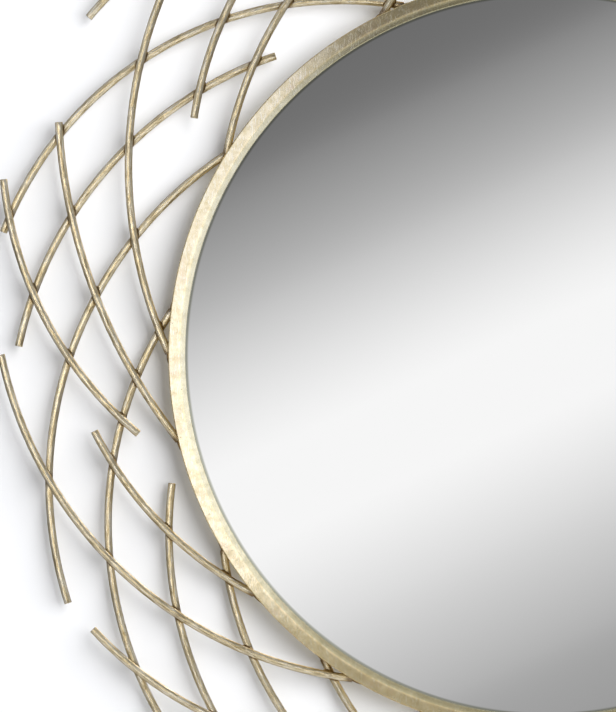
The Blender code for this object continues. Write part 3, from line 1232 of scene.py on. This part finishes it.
    def build_welds(self) -> list[bpy.types.Object]:
        """Sets a lump at every crossing and a collar at every foot on the ring, one object for each half.

        Returns:
            The joined lumps of each half.
        """
        lump = weld_lump()
        halves: dict[str, list[bpy.types.Object]] = {"left": [], "right": []}
        for front_bar, back_bar, spot in self.crossed:
            one = front_bar.heading(spot)
            two = back_bar.heading(spot)
            if one.dot(two) < 0.0:
                two = -two
            along = (one + two).normalized()
            half_angle = one.angle(two) / 2
            longest = self.bar_radius / math.sin(half_angle) * self.braze_share
            across = self.bar_radius / math.cos(half_angle)
            half_sizes = (min(longest, self.braze_longest), self.braze_depth, across)
            self.set_lump(lump, halves, spot, (along, FRONT, along.cross(FRONT)), half_sizes)
        for bar, _, wall in self.footed:
            out = wall - self.ring.centre
            out.y = 0.0
            out.normalize()
            slant = max(abs(bar.heading(wall).dot(out)), self.least_slant)
            half_sizes = (self.bar_radius / slant + self.collar_spread, self.collar_depth, self.collar_rise)
            self.set_lump(lump, halves, wall, (out.cross(FRONT), FRONT, out), half_sizes)
        bpy.data.objects.remove(lump)
        material = self.braze.make()
        made = []
        for side, lumps in halves.items():
            whole = join(lumps, "brazed_joints_" + side)
            hand_over(whole, Slot.RODS, material)
            made.append(whole)
        return made

    def build(self) -> list[bpy.types.Object]:
        """Bends, marks and dresses every bar, then adds the welds.

        Returns:
            All the pieces of the lattice.
        """
        material = self.leaf.make()
        made = []
        for number, bar in enumerate(self.bars):
            piece = self.bend(bar)
            roughen(piece, self.wrinkle_size, self.unevenness)
            self.mark(piece, bar, number)
            hand_over(piece, Slot.RODS, material, bar.node)
            made.append(piece)
        report.info("%d crossings and %d feet on the ring", len(self.crossed), len(self.footed))
        return made + self.build_welds()


# The studio


@dataclass(frozen=True)
class Lamp:
    """One soft rectangular lamp: its place, width and height in metres, power in watts and colour."""

    name: str
    place: tuple[float, float, float]
    size: tuple[float, float]
    power: float
    colour: str

    def hang(self, target: tuple[float, float, float]) -> bpy.types.Object:
        """Hangs the lamp.

        Args:
            target: point that it faces.

        Returns:
            The lamp.
        """
        select_only()
        aim = Vector(target) - Vector(self.place)
        turned = aim.to_track_quat("-Z", "Y").to_euler()
        bpy.ops.object.light_add(type="AREA", location=self.place, rotation=turned)
        lamp = bpy.context.object
        lamp.name = self.name
        lamp.data.shape = "RECTANGLE"
        lamp.data.size, lamp.data.size_y = self.size
        lamp.data.energy = self.power
        lamp.data.color = linear(self.colour)[:3]
        return lamp


@dataclass
class Studio:
    """White wall, pale floor, soft lights, the card that the glass reflects, and the camera."""

    lens: float = 200.0
    sensor: float = 36.0
    aim_x: float = -0.1892
    aim_z: float = -0.2957
    ring_front: float = -0.022
    glass_front: float = -0.0172
    glass_radius: float = 0.2865
    wall_size: float = 12.0
    floor_size: float = 60.0
    floor_drop: float = 1.75
    sheet_rise: float = 0.002
    card_distance: float = 1.5
    card_half: float = 1.6
    card_angle: float = 65.0
    card_start: float = 180.0
    card_end: float = 900.0
    # Pixels along the card's slope, and its brightness there, matched to the glass in the photograph
    card_tones: tuple[tuple[float, float], ...] = (
        (180, 0.155), (270, 0.26), (390, 0.61), (546, 1.03), (700, 0.78), (820, 0.48), (900, 0.36),
    )
    circle_blur: tuple[float, float] = (0.004, 0.09)
    card_fade: tuple[float, float] = (0.6, 0.99)
    surround_start: float = 174.0
    surround_end: float = 795.0
    surround_above: float = 0.1
    surround_below: float = 0.3
    fill: float = 0.28
    gloss_fill: float = 0.6
    sky: float = 0.9
    key: Lamp = Lamp("key_lamp", (1.6, -1.75, 0.52), (3.2, 3.2), 143.0, "#fdfdfe")
    ring_key: Lamp = Lamp("ring_key", (1.6, -1.75, 0.52), (1.5, 1.5), 10.01, "#ffffff")
    bar_lamp: Lamp = Lamp("bar_lamp", (-0.95, -2.0, -0.2), (1.0, 1.0), 28.0, "#fffaf2")
    back_lamp: Lamp = Lamp("back_lamp", (0.8, 2.4, 1.2), (2.0, 2.0), 35.0, "#ffffff")
    ring_lamp: Lamp = Lamp("ring_lamp", (-0.37, -0.47, -0.24), (0.38, 0.536), 0.94, "#d3dcff")

    def camera(self) -> None:
        """Sets the camera square to the wall at the photograph's distance and height."""
        height = PHOTO_HEIGHT * METRES_PER_PIXEL
        self.distance = height / 2 / (self.sensor / 2 / self.lens)
        select_only()
        bpy.ops.object.camera_add(
            location=(self.aim_x, self.ring_front - self.distance, self.aim_z), rotation=UPRIGHT,
        )
        camera = bpy.context.object
        camera.data.lens = self.lens
        camera.data.sensor_width = self.sensor
        camera.data.dof.use_dof = False
        bpy.context.scene.camera = camera
        bpy.context.scene.view_settings.view_transform = "Standard"

    def paint(self, name: str, colour: str, one_sided: bool) -> bpy.types.Material:
        """Mixes the matt paint of the wall and the floor.

        Args:
            name: the material's name.
            colour: its colour.
            one_sided: whether only a camera in front sees it, so that views from behind show the object.

        Returns:
            The material.
        """
        material, tree, skin = start_material(name)
        skin.inputs["Base Color"].default_value = linear(colour)
        skin.inputs["Roughness"].default_value = 0.95
        skin.inputs["Specular IOR Level"].default_value = 0.0
        if one_sided:
            seen = add_node(tree, "LightPath").outputs["Is Camera Ray"]
            behind = add_node(tree, "NewGeometry").outputs["Backfacing"]
            front = add_node(tree, "Math", {"operation": "SUBTRACT"}, {0: 1.0}, {1: behind})
            shown = add_node(tree, "Math", {"operation": "MULTIPLY"}, links={0: seen, 1: front.outputs[0]})
            clear = add_node(tree, "BsdfTransparent")
            mixed = add_node(
                tree, "MixShader", links={0: shown.outputs[0], 1: clear.outputs[0], 2: skin.outputs[0]},
            )
            tree.links.new(mixed.outputs[0], tree.nodes["Material Output"].inputs["Surface"])
        return material

    def pale_sheet(self) -> bpy.types.Material:
        """Makes the evenly pale sheet on the floor that only the camera sees, which no lamp burns out."""
        material, tree, surface = start_glow("pale_floor_sheet")
        glow = add_node(tree, "Emission", values={"Color": linear("#dcdcdd")})
        tree.links.new(glow.outputs[0], surface)
        return material

    def plane(
        self,
        name: str,
        size: float,
        place: tuple[float, float, float],
        turn: tuple[float, float, float],
        material: bpy.types.Material,
    ) -> bpy.types.Object:
        """Puts up one flat square of the studio.

        Args:
            name: its name.
            size: its side in metres.
            place: its centre.
            turn: its rotation.
            material: its material.

        Returns:
            The square.
        """
        select_only()
        bpy.ops.mesh.primitive_plane_add(size=size, location=place, rotation=turn)
        square = bpy.context.object
        square.name = name
        square.data.materials.append(material)
        return square

    def surfaces(self) -> None:
        """Puts up the wall and the floor, and lays the sheet on it that the camera sees."""
        flat = (0.0, 0.0, 0.0)
        paint = self.paint("wall_paint", "#f4f4f4", True)
        wall = self.plane("studio_wall", self.wall_size, flat, UPRIGHT, paint)
        wall.visible_shadow = False
        low = (0.0, 0.0, -self.floor_drop)
        paint = self.paint("floor_paint", "#ecebe8", False)
        floor = self.plane("studio_floor", self.floor_size, low, flat, paint)
        floor.visible_camera = False
        above = (0.0, 0.0, self.sheet_rise - self.floor_drop)
        sheet = self.plane("studio_floor_sheet", self.floor_size, above, flat, self.pale_sheet())
        hide_from(sheet, "diffuse", "glossy", "transmission", "volume_scatter", "shadow")

    def world(self) -> None:
        """Fills the room with even light: weak on the wall, stronger in reflections, pale for the camera."""
        world = bpy.data.worlds.new("studio_air")
        bpy.context.scene.world = world
        world.use_nodes = True
        tree = world.node_tree
        air = tree.nodes["Background"]
        air.inputs["Color"].default_value = linear("#e3e9f7")
        rays = add_node(tree, "LightPath")
        glossy = add_node(
            tree, "MapRange", values={"To Min": self.fill, "To Max": self.gloss_fill},
            links={"Value": rays.outputs["Is Glossy Ray"]},
        )
        strength = add_node(
            tree, "Mix", values={3: self.sky},
            links={0: rays.outputs["Is Camera Ray"], 2: glossy.outputs[0]},
        )
        tree.links.new(strength.outputs[0], air.inputs["Strength"])

    def choose_lit(
        self, lamp: bpy.types.Object, pieces: Sequence[bpy.types.Object], only: bool = True
    ) -> None:
        """Lets a lamp light only some pieces, or everything but them.

        Args:
            lamp: the lamp.
            pieces: the pieces that are chosen.
            only: whether it lights just them or all the others.
        """
        lit = bpy.data.collections.new("chosen_for_" + lamp.name)
        for piece in pieces:
            lit.objects.link(piece)
        for member in lit.collection_objects:
            member.light_linking.link_state = "INCLUDE" if only else "EXCLUDE"
        lamp.light_linking.receiver_collection = lit

    def lights(self, ring: bpy.types.Object, bars: Sequence[bpy.types.Object]) -> None:
        """Hangs a very large soft lamp on the right for the shadows, and smaller ones for the metal.

        Args:
            ring: the gilded ring, which has its own lamps.
            bars: the pieces of the lattice, which have their own lamps.
        """
        centre = (self.aim_x, 0.0, self.aim_z)
        self.choose_lit(self.key.hang(centre), [ring, *bars], only=False)
        self.choose_lit(self.ring_key.hang(centre), [ring])
        self.choose_lit(self.bar_lamp.hang(centre), bars)
        self.back_lamp.hang(centre)
        across = (self.ring_lamp.place[0], 0.0, self.ring_lamp.place[2])
        self.choose_lit(self.ring_lamp.hang(across), [ring])

    def card(self) -> None:
        """Hangs the card that only reflections see: inside a circle dark above, white across, grey below."""
        reach = self.glass_front - (self.ring_front - self.distance)
        spread = (reach + self.card_distance) / reach
        turn = math.radians(self.card_angle)
        material, tree, surface = start_glow("shaded_card")
        place = add_node(tree, "TexCoord").outputs["Object"]
        axes = add_node(tree, "SeparateXYZ", links={0: place})
        middle = PHOTO_WIDTH / 2 * math.cos(turn) + PHOTO_HEIGHT / 2 * math.sin(turn)
        scale = METRES_PER_PIXEL * spread
        first, last = self.card_start, self.card_end
        shade = add_node(
            tree, "MapRange",
            values={"From Min": (first - middle) * scale, "From Max": (last - middle) * scale},
            links={"Value": axes.outputs["X"]},
        )
        tones = []
        for pixel, tone in self.card_tones:
            tones.append(((pixel - first) / (last - first), (tone, tone, tone, 1.0)))
        ramp = add_node(tree, "ValToRGB", links={0: shade.outputs[0]}, stops=tones)
        ramp.color_ramp.interpolation = "CARDINAL"
        shift_x = -self.aim_x * spread
        shift_z = (MIRROR_CENTRE_Z - self.aim_z) * spread
        circle_x = shift_x * math.cos(turn) - shift_z * math.sin(turn)
        circle_y = shift_x * math.sin(turn) + shift_z * math.cos(turn)
        from_circle = add_node(
            tree, "VectorMath", {"operation": "DISTANCE"}, {1: (circle_x, circle_y, 0.0)}, {0: place},
        )
        edge = self.glass_radius * spread
        outside = add_node(
            tree, "MapRange", {"interpolation_type": "SMOOTHSTEP"},
            {"From Min": edge + self.circle_blur[0], "From Max": edge + self.circle_blur[1]},
            {"Value": from_circle.outputs["Value"]},
        )
        level = add_node(
            tree,
            "MapRange",
            values={
                "From Min": (self.surround_start - middle) * scale,
                "From Max": (self.surround_end - middle) * scale,
                "To Min": self.surround_above,
                "To Max": self.surround_below,
            },
            links={"Value": axes.outputs["X"]},
        )
        shaded = add_node(
            tree, "Mix", COLOUR_MIX, links={0: outside.outputs[0], 6: ramp.outputs[0], 7: level.outputs[0]},
        )
        glow = add_node(tree, "Emission", links={"Color": shaded.outputs[2]})
        away = add_node(tree, "VectorMath", {"operation": "LENGTH"}, links={0: place})
        fade = add_node(
            tree,
            "MapRange",
            {"interpolation_type": "SMOOTHSTEP"},
            {"From Min": self.card_half * self.card_fade[0], "From Max": self.card_half * self.card_fade[1]},
            {"Value": away.outputs["Value"]},
        )
        clear = add_node(tree, "BsdfTransparent")
        mixed = add_node(
            tree, "MixShader", links={0: fade.outputs[0], 1: glow.outputs[0], 2: clear.outputs[0]},
        )
        tree.links.new(mixed.outputs[0], surface)
        hung = (self.aim_x, self.glass_front - self.card_distance, self.aim_z)
        card = self.plane("reflected_card", 2 * self.card_half, hung, (math.pi / 2, turn, 0.0), material)
        hide_from(card, "camera", "diffuse", "transmission", "volume_scatter", "shadow")

    def build(self, ring: bpy.types.Object, bars: Sequence[bpy.types.Object]) -> None:
        """Sets up the whole studio.

        Args:
            ring: the gilded ring, for its own lamp.
            bars: the pieces of the lattice, for their own lamps.
        """
        self.camera()
        self.surfaces()
        self.world()
        self.lights(ring, bars)
        self.card()
        report.info("studio ready, camera %.3f m away", self.distance)


def main() -> None:
    """Builds the studio and every part of the mirror, in order."""
    logging.basicConfig(level=logging.INFO, format="%(message)s", stream=sys.stdout)
    ring = GildedRing()
    band = ring.build()
    MirrorPlate().build()
    BackFittings(ring).build()
    bars = RodLattice(ring).build()
    Studio().build(band, bars)


if __name__ == "__main__":
    main()
